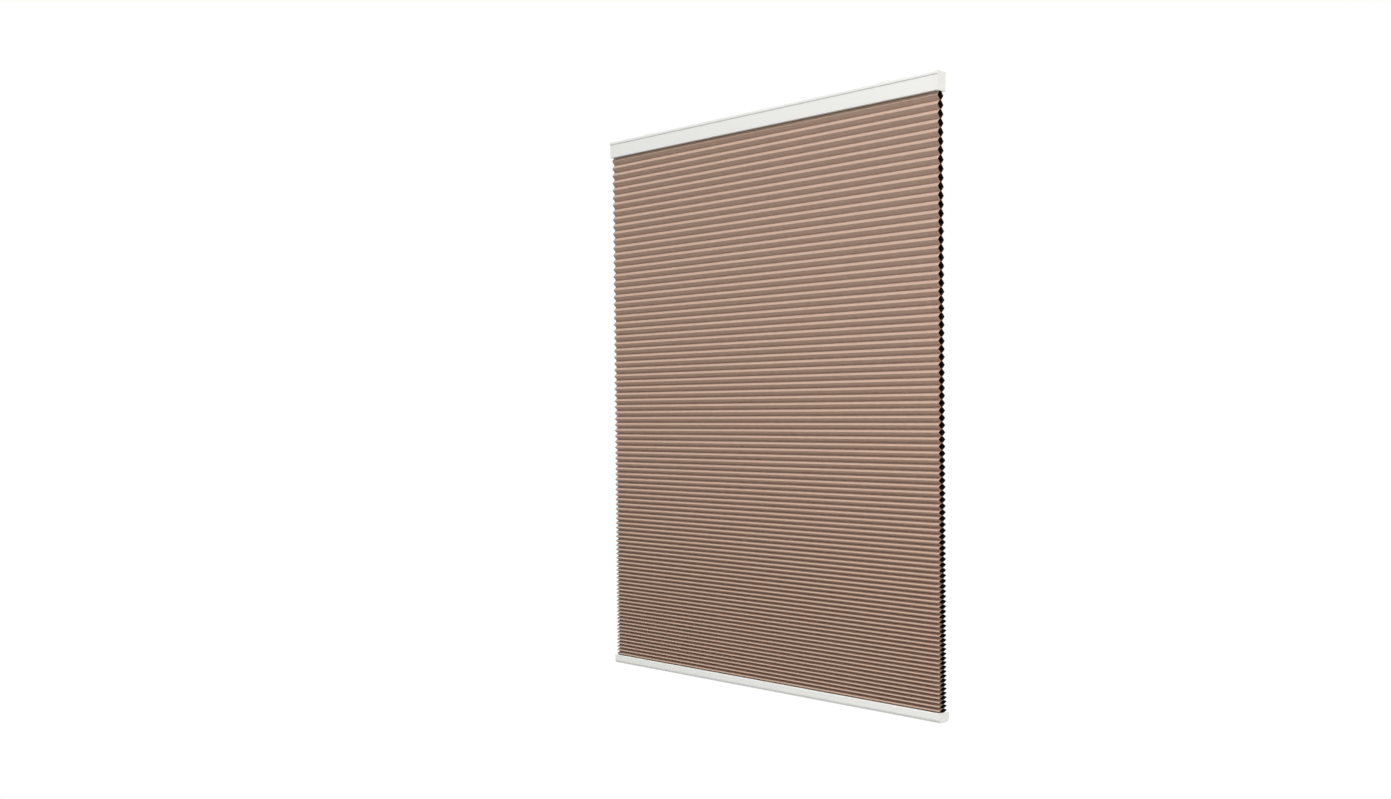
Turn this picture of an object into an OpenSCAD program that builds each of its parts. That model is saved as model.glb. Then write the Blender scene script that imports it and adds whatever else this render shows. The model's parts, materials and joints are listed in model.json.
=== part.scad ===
// Cordless cellular shade with a spring-driven lift, fully lowered.
// Millimetres. X runs along the width, -Y is the room side, +Z is up.
// The origin is midway between the bracket screws, on the ceiling plane.

/* [Shade] */
// Width over the end caps of both rails
shade_width = 911; // [700:1:1400]
// Height from the ceiling to the underside of the lowered bottom rail
shade_height = 1222.6; // [600:0.1:1800]
// Height of the highest cell, which the weight below pulls open
pitch_top = 17; // [14:0.1:20]
// Height of the lowest cell
pitch_bottom = 8.1; // [6:0.1:13]

/* [Honeycomb fabric] */
// Slanted length of one cell wall
wall_length = 11.2; // [10:0.05:14]
// Width of the glue line that joins two cells
glue_width = 5; // [4.6:0.1:7]
// Thickness of the cloth
cloth = 0.4; // [0.3:0.05:0.6]
// Distance from the cloth's side edge to the outside of an end cap
side_inset = 2.5; // [2.3:0.1:6]
// Radius of the punched cord holes
cord_hole_r = 2; // [1.5:0.1:2.2]

/* [Rails] */
// Depth of the head rail's body, front to back
head_depth = 26; // [23:0.1:34]
// Height of the head rail
head_height = 36.5; // [34:0.1:46]
// Depth of the bottom rail, front to back
bottom_depth = 31; // [26:0.1:38]
// Height of the bottom rail
bottom_height = 19; // [16:0.1:26]
// Wall of the extruded rails
rail_wall = 1.2; // [0.9:0.1:1.6]
// Reach of the bead along the head rail's upper edges past its sides
bead_reach = 1.2; // [0.8:0.1:3]
// Height of that bead
bead_height = 6.2; // [4:0.1:9]
// Radius of the bead's upper edge
shoulder_r = 2; // [1.5:0.1:5]
// Radius of the bottom rail's lower edges
heel_r = 7.5; // [2:0.1:8]
// Radius of the small edge on the sides that face the fabric
edge_r = 0.8; // [0.4:0.1:1]
// Width of the open slot along the top of the head rail
top_slot = 13; // [11:0.1:14]
// Width of the slot that the fabric leaves a rail by
fabric_slot = 10; // [8:0.1:11]
// Free height in the track over the fabric's end cell
track_room = 1; // [0.5:0.1:3]
// Reach of the strip in an end cell past each edge of the slot
strip_hold = 2; // [1.5:0.1:3]
// Thickness of that strip
strip_thick = 1.2; // [0.8:0.1:1.5]

/* [End caps] */
// Thickness of an end cap's plate
cap_plate = 2; // [1.5:0.1:3]
// Reach of an end cap's plug into its rail
cap_plug = 9; // [6:0.1:14]
// Wall of the plug
cap_wall = 1.6; // [1.2:0.1:2]

/* [Mounting brackets] */
// Distance from the outside of an end cap to the bracket next to it
bracket_inset = 125.5; // [60:0.5:200]
// Length of a bracket along the rail
bracket_length = 26; // [20:0.1:34]
// Thickness of the bracket's spring steel
bracket_steel = 1.2; // [0.9:0.1:1.5]
// Reach of the plate over each lip of the rail
bracket_reach = 3; // [2:0.1:4]
// Length that the hooks under the lips are shorter than the plate
hook_short = 1; // [0.5:0.1:1.5]
// Radius of the screw hole in each bracket
screw_hole_r = 2; // [1.5:0.1:2.5]

/* [Lift train] */
// Free room between the gears and the sides of the box
gear_room = 1; // [0.6:0.05:2]
// Teeth on each of the four gears
teeth = 14; // [13:1:15]
// Extra distance between gear axes
gear_slack = 0.3; // [0.2:0.01:0.4]
// Height of a gear
gear_height = 4; // [3:0.1:5]
// Free height between the box and the rail's lips
head_room = 4; // [3:0.1:6]
// Radius from a spool's axis to the centre of the cord wound on it
wind_r = 5.5; // [4.5:0.1:6.2]
// Radius of the drums that carry the spring
spring_drum_r = 4.2; // [3.6:0.1:4.6]
// Height of the top flange of a spool or drum
flange_height = 1.2; // [1:0.1:1.6]
// Radius of the posts that the train turns on
post_r = 1.6; // [1.2:0.1:2]
// Free height over and under the spring strip
spring_room = 1; // [0.5:0.1:2]
// Thickness of the spring strip
spring_thick = 0.3; // [0.2:0.05:0.4]
// Turns of strip shown on the output drum
full_turns = 7; // [5:1:8]
// Turns of strip shown on the storage drum
spare_turns = 3; // [2:1:5]

/* [Spring box] */
// Wall of the box around the train
box_wall = 1.2; // [1:0.1:1.6]
// Thickness of the box floor and of its cover
box_floor = 1.6; // [1.2:0.1:2]
// Free room past the gears at each end of the box
box_room = 4; // [3.5:0.1:8]
// Radius of the screw bosses
boss_r = 1.9; // [1.6:0.1:2]
// Radius of the screw shanks
box_screw_r = 0.9; // [0.7:0.1:1]
// Reach of the screws below the cover
box_screw_reach = 8; // [6:0.1:12]
// Radius of a screw's head
screw_head_r = 1.6; // [1.4:0.1:1.8]
// Width of the slot in a screw's head
driver_slot = 0.5; // [0.3:0.1:0.6]
// Depth that a boss is let into the walls at its corner
boss_bite = 0.4; // [0.3:0.05:0.6]
// Extra radius of the pegs under the box over that of the posts
peg_step = 0.4; // [0.2:0.1:0.8]
// Room round the cord where it leaves the box
exit_room = 1.4; // [1:0.1:1.8]

/* [Cords and guides] */
// Distance from the outside of an end cap to the lift cord next to it
cord_inset = 155.5; // [100:0.5:250]
// Angle of the cord that is wound on its spool
cord_wrap = 250; // [200:5:280]
// Radius of the cord
cord_r = 0.6; // [0.4:0.05:0.7]
// Radius from a roller's axis to the centre of the cord on it
roller_wind_r = 4; // [3.6:0.1:4.5]
// Width of a roller
roller_width = 6; // [5:0.1:7]
// Height of a roller's rim over the cord
rim_height = 0.6; // [0.4:0.1:0.8]
// Flat along the edge of the rim
rim_flat = 0.6; // [0.4:0.1:0.8]
// Room beside the cord in the roller's groove
groove_room = 0.5; // [0.4:0.1:0.8]
// Radius of a roller's axle
axle_r = 1.5; // [1.2:0.1:1.6]
// Thickness of the two ears that hold the axle
ear_thick = 2.2; // [1.6:0.1:3]
// Width of an ear past the roller's rim
ear_rim = 1; // [0.6:0.1:1.4]
// Thickness of a guide's base
guide_base = 2; // [1.5:0.1:3]
// Reach of the base past the roller, along the rail
guide_foot = 4; // [3.5:0.1:6]
// Reach of the base past the ears, across the rail
guide_ledge = 1; // [0.5:0.1:1.5]
// Radius of the guide's eyelet through the rail
eyelet_r = 3.3; // [2.8:0.1:3.6]
// Radius of the cord anchor's stem
anchor_stem_r = 3.2; // [2.8:0.1:4]
// Height of the cord anchor's boss over the rail's floor
anchor_boss = 5; // [4.5:0.1:6]
// Reach of the anchor's flange past its stem
anchor_rim = 2.2; // [1.5:0.1:3]
// Thickness of that flange
anchor_flange = 1.2; // [0.8:0.1:1.6]
// Radius of the knot at the cord's end
knot_r = 1.5; // [1.2:0.1:1.6]
// Height of the knot's centre over the rail's floor
knot_lift = 0.4; // [0.2:0.1:0.8]

/* [Fits] */
// Clearance around a piece that slides into another
slide_fit = 0.3; // [0.2:0.05:0.4]
// Clearance between a seated piece and its seat
seat_fit = 0.1; // [0.05:0.01:0.15]
// Clearance between a post or an axle and what turns on it
running_fit = 0.05; // [0.02:0.01:0.1]
// Clearance between a cord or spring and what moves beside it
free_fit = 0.3; // [0.25:0.05:0.5]
// Clearance between a cord or its knot and the bore round it
bore_fit = 0.4; // [0.3:0.05:0.6]
// Clearance between an axle and the ears that it is pushed into
axle_fit = 0.02; // [0.01:0.01:0.05]

/* [Hidden] */
$fn = 48;

// Head rail levels, from the ceiling down
rail_top = -bracket_steel;
rail_bottom = rail_top - head_height;
lip_under = rail_top - rail_wall;
head_half = head_depth / 2;
head_inner = head_half - rail_wall;
slot_half = fabric_slot / 2;
rail_length = shade_width - 2 * cap_plate;
bracket_x = shade_width / 2 - bracket_inset;
cord_x = shade_width / 2 - cord_inset;

// End cells: each is pressed flat round a strip that is wider than the rail's slot
glue_half = glue_width / 2;
strip_half = slot_half + strip_hold;
anchor_half = head_inner - slide_fit;
anchor_slope = (strip_thick / 2 + seat_fit + 1.03 * cloth) / (anchor_half - strip_half);
anchor_rise = anchor_slope * (anchor_half - glue_half);
lip_lift = anchor_slope * (slot_half - glue_half) - seat_fit;

// Bottom rail levels
bottom_half = bottom_depth / 2;
bottom_inner = bottom_half - rail_wall;
bottom_under = -shade_height;
bottom_top = bottom_under + bottom_height;
bottom_floor = bottom_under + rail_wall;

// Fabric levels: each end cell is held by the lips of a rail, and whole cells fill the drop between
fabric_top = rail_bottom + rail_wall - lip_lift;
fabric_bottom = bottom_top - rail_wall + lip_lift;
web_under = fabric_top + 2 * anchor_rise + track_room;
web_top = web_under + rail_wall;
fabric_width = shade_width - 2 * side_inset;
fabric_drop = fabric_top - fabric_bottom;
cell_count = round(2 * fabric_drop / (pitch_top + pitch_bottom));
pitch_mid = fabric_drop / cell_count;
pitch_swing = pitch_mid * (pitch_top - pitch_bottom) / (pitch_top + pitch_bottom);

// Lift train: four equal gears in a row along X, as large as the box has room for
box_half_width = head_inner - slide_fit;
room_half_width = box_half_width - box_wall;
tip_r = room_half_width - gear_room;
gear_module = tip_r / (teeth / 2 + 0.9);
pitch_r = gear_module * teeth / 2;
axis_gap = 2 * pitch_r + gear_slack;
root_r = pitch_r - 1.25 * gear_module;
pressure_angle = 25;
backlash = 0.25;
base_r = pitch_r * cos(pressure_angle);
spool_x = 1.5 * axis_gap;
flange_r = axis_gap / 2 - free_fit;
cord_drum_r = wind_r - cord_r - free_fit;
floor_top = web_top + box_floor;
gear_bottom = floor_top + free_fit;
drum_bottom = gear_bottom + gear_height;
cover_top = lip_under - head_room;
cover_under = cover_top - box_floor;
train_top = cover_under - free_fit;
flange_bottom = train_top - flange_height;
drum_height = flange_bottom - drum_bottom;
cord_level = drum_bottom + drum_height / 2;
room_half_length = spool_x + tip_r + box_room;
box_half_length = room_half_length + box_wall;
boss_x = room_half_length - boss_r + boss_bite;
boss_y = room_half_width - boss_r + boss_bite;
peg_r = post_r + peg_step;
spring_bottom = drum_bottom + spring_room;
spring_width = drum_height - 2 * spring_room;
exit_half = cord_r + exit_room;

// Cord path: the cord leaves the spool at a tangent that meets the roller's centre plane
cord_angle = asin(wind_r / (cord_x - spool_x));
cord_run = sqrt(pow(cord_x - spool_x, 2) - wind_r * wind_r);
exit_y = (cord_x - box_half_length) * tan(cord_angle);
roller_level = cord_level - roller_wind_r;
groove_r = roller_wind_r - cord_r - free_fit;
roller_r = roller_wind_r + cord_r + rim_height;
ear_in = roller_width / 2 + free_fit;
ear_out = ear_in + ear_thick;
cord_bore_r = cord_r + bore_fit;
knot_bore_r = knot_r + bore_fit;
knot_level = bottom_floor + knot_lift;
bend_swell = 0.02;

// Colours of the finished pieces
paint_white = [0.93, 0.93, 0.91];
cap_white = [0.95, 0.95, 0.93];
taupe = [0.62, 0.52, 0.45];
clear_plastic = [0.85, 0.86, 0.84];
box_grey = [0.3, 0.31, 0.33];
gear_white = [0.88, 0.88, 0.85];
spring_steel = [0.6, 0.62, 0.66];
zinc = [0.74, 0.75, 0.77];
cord_white = [0.9, 0.89, 0.86];

function arc(c, r, from, to, steps = 6) =
  [for (i = [0 : steps]) let (a = from + (to - from) * i / steps) c + r * [cos(a), sin(a)]];

function flipped(points) = [for (i = [len(points) - 1 : -1 : 0]) [-points[i][0], points[i][1]]];

function both_sides(points) = concat(points, flipped(points));

function involute(a) = tan(a) * 180 / PI - a;

function tooth_half(r) =
  90 / teeth - backlash / (2 * pitch_r) * 180 / PI + involute(pressure_angle)
  - involute(acos(min(1, base_r / max(r, base_r))));

function tooth_flank() =
  let (foot = max(base_r, root_r + 0.1))
  concat([root_r], [for (i = [0 : 4]) foot + (tip_r - foot) * i / 4]);

function gear_outline(radii) =
  [for (t = [0 : teeth - 1]) for (side = [-1, 1]) for (i = [0 : len(radii) - 1])
    let (r = radii[side < 0 ? i : len(radii) - 1 - i], a = 360 * t / teeth + side * tooth_half(r))
    r * [cos(a), sin(a)]];

function drop_to(n) = n * pitch_mid + pitch_swing * sin(180 * n / cell_count) / (2 * sin(90 / cell_count));

function cell_height(n) = drop_to(n + 1) - drop_to(n);

function cell_half(n) = glue_half + sqrt(pow(wall_length, 2) - pow(cell_height(n) / 2, 2));

// Outline of the pleats on one side, as [half depth, height], from the top end cell to the bottom one
function pleat_outline() = concat(
  [[glue_half, fabric_top + 2 * anchor_rise], [anchor_half, fabric_top + anchor_rise],
    [glue_half, fabric_top]],
  [for (n = [0 : cell_count - 1]) for (half = [0, 1])
    half == 0
    ? [cell_half(n), fabric_top - (drop_to(n) + drop_to(n + 1)) / 2]
    : [glue_half, fabric_top - drop_to(n + 1)]],
  [[anchor_half, fabric_bottom - anchor_rise], [glue_half, fabric_bottom - 2 * anchor_rise]]);

// Inside of one cell, one cloth thickness in from its glue lines and walls
function tunnel(upper, apex, lower) =
  let (rise = (upper[1] - lower[1]) / 2, run = apex[0] - upper[0], wall = sqrt(rise * rise + run * run),
    flat = upper[0] + run * cloth * (1 - run / wall) / rise - cloth * rise / wall,
    tip = apex[0] - cloth * wall / rise)
  both_sides([[flat, upper[1] - cloth], [tip, apex[1]], [flat, lower[1] + cloth]]);

module along_x(length) {
  rotate([90, 0, 90])
    linear_extrude(height = length, center = true)
      children();
}

module at_cord() {
  translate([-cord_x, 0, 0])
    rotate([0, 0, -cord_angle])
      children();
}

module across(length, r) {
  rotate([90, 0, 0])
    cylinder(h = length, r = r, center = true);
}

// Outside of the head rail on one side, with the bead that runs along its upper edge
function head_outline() =
  let (bead_half = head_half + bead_reach, bead_under = rail_top - bead_height,
    under_r = min(edge_r, bead_reach / 2), upper_r = min(shoulder_r, bead_height - under_r))
  concat(
    arc([bead_half - upper_r, rail_top - upper_r], upper_r, 90, 0),
    arc([bead_half - under_r, bead_under + under_r], under_r, 0, -90, 3),
    [[head_half, bead_under]],
    arc([head_half - edge_r, rail_bottom + edge_r], edge_r, 0, -90, 3));

// Head rail: open on top for the brackets, with a web over the fabric track
module head_section() {
  side = concat(
    [[head_inner, web_top], [head_inner, lip_under], [top_slot / 2, lip_under], [top_slot / 2, rail_top]],
    head_outline(),
    [[slot_half, rail_bottom], [slot_half, rail_bottom + rail_wall],
      [head_inner, rail_bottom + rail_wall], [head_inner, web_under]]);
  polygon(both_sides(side));
}

module head_rail() {
  color(paint_white)
    difference() {
      along_x(rail_length) head_section();
      for (s = [-1, 1]) {
        translate([s * cord_x, 0, web_under - 1])
          cylinder(h = rail_wall + 2, r = eyelet_r + seat_fit);
        translate([s * spool_x, 0, web_under - 1])
          cylinder(h = rail_wall + 2, r = peg_r + seat_fit);
      }
    }
}

module head_cap() {
  plug_half = head_inner - slide_fit;
  plug_low = web_top + seat_fit;
  plug_high = lip_under - slide_fit;
  translate([rail_length / 2 + cap_plate / 2, 0, 0])
    along_x(cap_plate)
      polygon(both_sides(head_outline()));
  translate([rail_length / 2 - cap_plug / 2, 0, 0])
    along_x(cap_plug)
      polygon(both_sides([
        [plug_half - cap_wall, plug_low + cap_wall], [plug_half - cap_wall, plug_high],
        [plug_half, plug_high], [plug_half, plug_low]]));
}

module head_end_cap_left() {
  color(cap_white)
    mirror([1, 0, 0])
      head_cap();
}

module head_end_cap_right() {
  color(cap_white)
    head_cap();
}

// Bracket: a plate on the rail's lips, with two legs that hook under them
module bracket() {
  lip_edge = top_slot / 2;
  plate_half = lip_edge + bracket_reach;
  hook_half = plate_half - hook_short;
  leg_out = lip_edge - slide_fit;
  leg_in = leg_out - bracket_steel;
  foot_top = lip_under - seat_fit;
  foot_under = foot_top - bracket_steel;
  difference() {
    along_x(bracket_length)
      polygon(both_sides([
        [plate_half, 0], [plate_half, rail_top], [leg_out, rail_top], [leg_out, foot_top],
        [hook_half, foot_top], [hook_half, foot_under], [leg_in, foot_under], [leg_in, rail_top]]));
    translate([0, 0, rail_top - 1])
      cylinder(h = bracket_steel + 2, r = screw_hole_r);
  }
}

module mounting_bracket_left() {
  color(zinc)
    translate([-bracket_x, 0, 0])
      bracket();
}

module mounting_bracket_right() {
  color(zinc)
    translate([bracket_x, 0, 0])
      bracket();
}

module strip(level) {
  difference() {
    translate([0, 0, level])
      cube([fabric_width, 2 * strip_half, strip_thick], center = true);
    for (s = [-1, 1])
      translate([s * cord_x, 0, level])
        cylinder(h = strip_thick + 2, r = cord_hole_r, center = true);
  }
}

module top_fabric_strip() {
  color(clear_plastic)
    strip(fabric_top + anchor_rise);
}

module bottom_fabric_strip() {
  color(clear_plastic)
    strip(fabric_bottom - anchor_rise);
}

// Fabric: a stack of six-sided cells that share glue lines, with the cord holes punched down the middle
module honeycomb_fabric() {
  outline = pleat_outline();
  skin = both_sides(outline);
  tunnels = [for (i = [0 : 2 : len(outline) - 3]) tunnel(outline[i], outline[i + 1], outline[i + 2])];
  corners = len(tunnels[0]);
  points = concat(skin, [for (t = tunnels) for (p = t) p]);
  paths = concat(
    [[for (i = [0 : len(skin) - 1]) i]],
    [for (k = [0 : len(tunnels) - 1]) [for (i = [0 : corners - 1]) len(skin) + corners * k + i]]);
  color(taupe)
    difference() {
      along_x(fabric_width) polygon(points = points, paths = paths);
      for (s = [-1, 1])
        translate([s * cord_x, 0, fabric_bottom - 2 * anchor_rise - 1])
          cylinder(h = fabric_drop + 4 * anchor_rise + 2, r = cord_hole_r);
    }
}

// Spring box: a tray with a post under each spool, seated on the web by two pegs
module spring_box_base() {
  color(box_grey)
    difference() {
      union() {
        difference() {
          translate([-box_half_length, -box_half_width, web_top])
            cube([2 * box_half_length, 2 * box_half_width, cover_under - web_top]);
          translate([-room_half_length, -room_half_width, floor_top])
            cube([2 * room_half_length, 2 * room_half_width, cover_top - floor_top]);
        }
        for (i = [0 : 3])
          translate([(i - 1.5) * axis_gap, 0, floor_top - 0.5])
            cylinder(h = cover_top - floor_top + 0.5, r = post_r);
        for (sx = [-1, 1]) for (sy = [-1, 1])
          translate([sx * boss_x, sy * boss_y, floor_top - 0.5])
            cylinder(h = cover_under - floor_top + 0.5, r = boss_r);
        for (s = [-1, 1])
          translate([s * spool_x, 0, web_under])
            cylinder(h = rail_wall + 0.5, r = peg_r);
      }
      for (sx = [-1, 1]) for (sy = [-1, 1])
        translate([sx * boss_x, sy * boss_y, cover_under - box_screw_reach - 1])
          cylinder(h = box_screw_reach + 2, r = box_screw_r + running_fit);
      for (s = [-1, 1])
        translate([s * box_half_length - box_wall - 1, -exit_y - exit_half, cord_level - exit_half])
          cube([2 * box_wall + 2, 2 * exit_half, cover_top - cord_level]);
    }
}

module spring_box_cover() {
  color(box_grey)
    difference() {
      translate([-box_half_length, -box_half_width, cover_under])
        cube([2 * box_half_length, 2 * box_half_width, box_floor]);
      for (i = [0 : 3])
        translate([(i - 1.5) * axis_gap, 0, cover_under - 1])
          cylinder(h = box_floor + 2, r = post_r + running_fit);
      for (sx = [-1, 1]) for (sy = [-1, 1])
        translate([sx * boss_x, sy * boss_y, cover_under - 1])
          cylinder(h = box_floor + 2, r = box_screw_r + seat_fit);
    }
}

module spring_box_screws() {
  color(zinc)
    for (sx = [-1, 1]) for (sy = [-1, 1])
      translate([sx * boss_x, sy * boss_y, cover_top])
        difference() {
          union() {
            cylinder(h = box_screw_r, r = screw_head_r);
            translate([0, 0, -box_floor - box_screw_reach])
              cylinder(h = box_floor + box_screw_reach + 0.1, r = box_screw_r);
          }
          translate([-2 * screw_head_r, -driver_slot / 2, box_screw_r / 2])
            cube([4 * screw_head_r, driver_slot, box_screw_r]);
        }
}

// One turning piece of the train: gear below, drum over it, flange on top, bored for its post
module spool(place, drum_r) {
  translate([(place - 1.5) * axis_gap, 0, 0])
    difference() {
      union() {
        translate([0, 0, gear_bottom])
          rotate([0, 0, place % 2 == 0 ? 0 : 180 / teeth])
            linear_extrude(height = gear_height)
              polygon(gear_outline(tooth_flank()));
        translate([0, 0, drum_bottom - 0.5])
          cylinder(h = drum_height + 1, r = drum_r);
        translate([0, 0, flange_bottom])
          cylinder(h = flange_height, r = flange_r);
      }
      translate([0, 0, gear_bottom - 1])
        cylinder(h = train_top - gear_bottom + 2, r = post_r + running_fit);
    }
}

module cord_spool_left() {
  color(gear_white)
    spool(0, cord_drum_r);
}

module output_drum() {
  color(gear_white)
    spool(1, spring_drum_r);
}

module storage_drum() {
  color(gear_white)
    spool(2, spring_drum_r);
}

module cord_spool_right() {
  color(gear_white)
    spool(3, cord_drum_r);
}

// Power spring: coils on both drums and the strip that crosses between them, wound back on itself
module power_spring() {
  coil_in = spring_drum_r + free_fit;
  full_r = coil_in + full_turns * spring_thick;
  spare_r = coil_in + spare_turns * spring_thick;
  bite = 0.1;
  full_tangent = full_r - bite;
  spare_tangent = spare_r - bite;
  lean = asin((full_tangent + spare_tangent - spring_thick) / axis_gap);
  span = axis_gap * cos(lean);
  color(spring_steel)
    translate([0, 0, spring_bottom]) {
      difference() {
        union() {
          translate([-axis_gap / 2, 0, 0])
            cylinder(h = spring_width, r = full_r);
          translate([axis_gap / 2, 0, 0])
            cylinder(h = spring_width, r = spare_r);
          translate([-axis_gap / 2, 0, 0])
            rotate([0, 0, lean])
              translate([0, -full_tangent, 0])
                cube([span, spring_thick, spring_width]);
        }
        for (s = [-1, 1])
          translate([s * axis_gap / 2, 0, -1])
            cylinder(h = spring_width + 2, r = coil_in);
      }
    }
}

// Cord guide: a base on the rail's web, an eyelet through it, and two ears that hold the roller's axle
module guide_body() {
  ear_length = 2 * (roller_r + ear_rim);
  foot_half = roller_r + guide_foot;
  ledge_half = ear_out + guide_ledge;
  difference() {
    union() {
      translate([roller_wind_r - foot_half, -ledge_half, web_top])
        cube([2 * foot_half, 2 * ledge_half, guide_base]);
      for (s = [-1, 1])
        translate([roller_wind_r - ear_length / 2, s * (ear_in + ear_thick / 2) - ear_thick / 2, web_top])
          cube([ear_length, ear_thick, roller_level - web_top]);
      for (s = [-1, 1])
        translate([roller_wind_r, s * (ear_in + ear_thick / 2), roller_level])
          across(ear_thick, ear_length / 2);
      translate([0, 0, web_under])
        cylinder(h = rail_wall + 0.5, r = eyelet_r);
    }
    translate([roller_wind_r, 0, roller_level])
      across(2 * ledge_half, axle_r + axle_fit);
    translate([0, 0, web_under - 1])
      cylinder(h = rail_wall + guide_base + 2, r = cord_bore_r);
  }
}

module cord_guide_left() {
  color(box_grey)
    at_cord() guide_body();
}

module cord_guide_right() {
  color(box_grey)
    mirror([1, 0, 0])
      at_cord() guide_body();
}

module guide_axle_left() {
  color(zinc)
    at_cord()
      translate([roller_wind_r, 0, roller_level])
        across(2 * ear_out, axle_r);
}

module guide_axle_right() {
  color(zinc)
    mirror([1, 0, 0])
      guide_axle_left();
}

module roller() {
  bore = axle_r + running_fit;
  flat = cord_r + groove_room;
  half = roller_width / 2;
  rim_in = half - rim_flat;
  translate([roller_wind_r, 0, roller_level])
    rotate([90, 0, 0])
      rotate_extrude()
        polygon([
          [bore, -half], [roller_r, -half], [roller_r, -rim_in], [groove_r, -flat],
          [groove_r, flat], [roller_r, rim_in], [roller_r, half], [bore, half]]);
}

module guide_roller_left() {
  color(gear_white)
    at_cord() roller();
}

module guide_roller_right() {
  color(gear_white)
    mirror([1, 0, 0])
      at_cord() roller();
}

// Lift cord: part of a turn on the spool, a straight run, a bend over the roller and the drop to its knot
module cord_bend(r, turn) {
  rotate_extrude(angle = turn)
    translate([r, 0])
      circle(r = cord_r + bend_swell);
}

module cord_path() {
  lap = 0.25;
  at_cord() {
    translate([0, 0, knot_level])
      cylinder(h = roller_level - knot_level + lap, r = cord_r);
    translate([roller_wind_r, 0, roller_level])
      rotate([90, 0, 0])
        rotate([0, 0, 90])
          cord_bend(roller_wind_r, 90);
    translate([roller_wind_r - lap, 0, cord_level])
      rotate([0, 90, 0])
        cylinder(h = cord_run - roller_wind_r + 2 * lap, r = cord_r);
    translate([0, 0, knot_level])
      sphere(r = knot_r);
    translate([cord_run, wind_r, cord_level])
      rotate([0, 0, -90])
        cord_bend(wind_r, cord_wrap);
  }
}

module lift_cord_left() {
  color(cord_white)
    cord_path();
}

module lift_cord_right() {
  color(cord_white)
    mirror([1, 0, 0])
      cord_path();
}

// Bottom rail: a trough with rounded lower edges and two lips that hang on the last cell
module bottom_section() {
  inner_r = max(heel_r - rail_wall, 0.5);
  outside = concat(
    [[slot_half, bottom_top]],
    arc([bottom_half - edge_r, bottom_top - edge_r], edge_r, 90, 0, 3),
    arc([bottom_half - heel_r, bottom_under + heel_r], heel_r, 0, -90, 10));
  inside = concat(
    [[slot_half, bottom_top - rail_wall], [bottom_inner, bottom_top - rail_wall]],
    arc([bottom_inner - inner_r, bottom_floor + inner_r], inner_r, 0, -90));
  far_inside = [for (p = inside) [-p[0], p[1]]];
  near_inside = [for (i = [len(inside) - 1 : -1 : 0]) inside[i]];
  polygon(concat(both_sides(outside), far_inside, near_inside));
}

module bottom_rail() {
  color(paint_white)
    difference() {
      along_x(rail_length) bottom_section();
      for (s = [-1, 1])
        translate([s * cord_x, 0, bottom_under - 1])
          cylinder(h = rail_wall + 2, r = anchor_stem_r + seat_fit);
    }
}

module bottom_cap() {
  plug_half = bottom_inner - slide_fit;
  plug_low = bottom_floor + seat_fit;
  plug_high = fabric_bottom - 2 * anchor_rise - slide_fit;
  plug_r = max(heel_r - rail_wall, 0.5);
  translate([rail_length / 2 + cap_plate / 2, 0, 0])
    along_x(cap_plate)
      polygon(both_sides(concat(
        arc([bottom_half - edge_r, bottom_top - edge_r], edge_r, 90, 0, 3),
        arc([bottom_half - heel_r, bottom_under + heel_r], heel_r, 0, -90, 10))));
  translate([rail_length / 2 - cap_plug / 2, 0, 0])
    along_x(cap_plug)
      polygon(both_sides(concat(
        [[plug_half - plug_r, plug_low + cap_wall], [plug_half - cap_wall, plug_low + plug_r],
          [plug_half - cap_wall, plug_high], [plug_half, plug_high]],
        arc([plug_half - plug_r, plug_low + plug_r], plug_r, 0, -90))));
}

module bottom_end_cap_left() {
  color(cap_white)
    mirror([1, 0, 0])
      bottom_cap();
}

module bottom_end_cap_right() {
  color(cap_white)
    bottom_cap();
}

// Cord anchor: a plug in the rail's floor, bored for the cord, with a pocket for its knot
module cord_anchor() {
  difference() {
    union() {
      translate([0, 0, bottom_under])
        cylinder(h = rail_wall + 0.5, r = anchor_stem_r);
      translate([0, 0, bottom_floor])
        cylinder(h = anchor_flange, r = anchor_stem_r + anchor_rim);
      translate([0, 0, bottom_floor])
        cylinder(h = anchor_boss, r = anchor_stem_r);
    }
    translate([0, 0, bottom_under - 1])
      cylinder(h = knot_level + knot_bore_r - bottom_under + 1, r = knot_bore_r);
    translate([0, 0, bottom_under - 1])
      cylinder(h = rail_wall + anchor_boss + 2, r = cord_bore_r);
  }
}

module cord_anchor_left() {
  color(cap_white)
    translate([-cord_x, 0, 0])
      cord_anchor();
}

module cord_anchor_right() {
  color(cap_white)
    translate([cord_x, 0, 0])
      cord_anchor();
}

head_rail();
head_end_cap_left();
head_end_cap_right();
mounting_bracket_left();
mounting_bracket_right();
top_fabric_strip();
honeycomb_fabric();
spring_box_base();
spring_box_cover();
spring_box_screws();
power_spring();
cord_spool_left();
output_drum();
storage_drum();
cord_spool_right();
cord_guide_left();
cord_guide_right();
guide_axle_left();
guide_axle_right();
guide_roller_left();
guide_roller_right();
lift_cord_left();
lift_cord_right();
bottom_rail();
bottom_end_cap_left();
bottom_end_cap_right();
bottom_fabric_strip();
cord_anchor_left();
cord_anchor_right();
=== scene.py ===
import json
import math

import bpy
import numpy as np
from mathutils import Matrix, Vector


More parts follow.
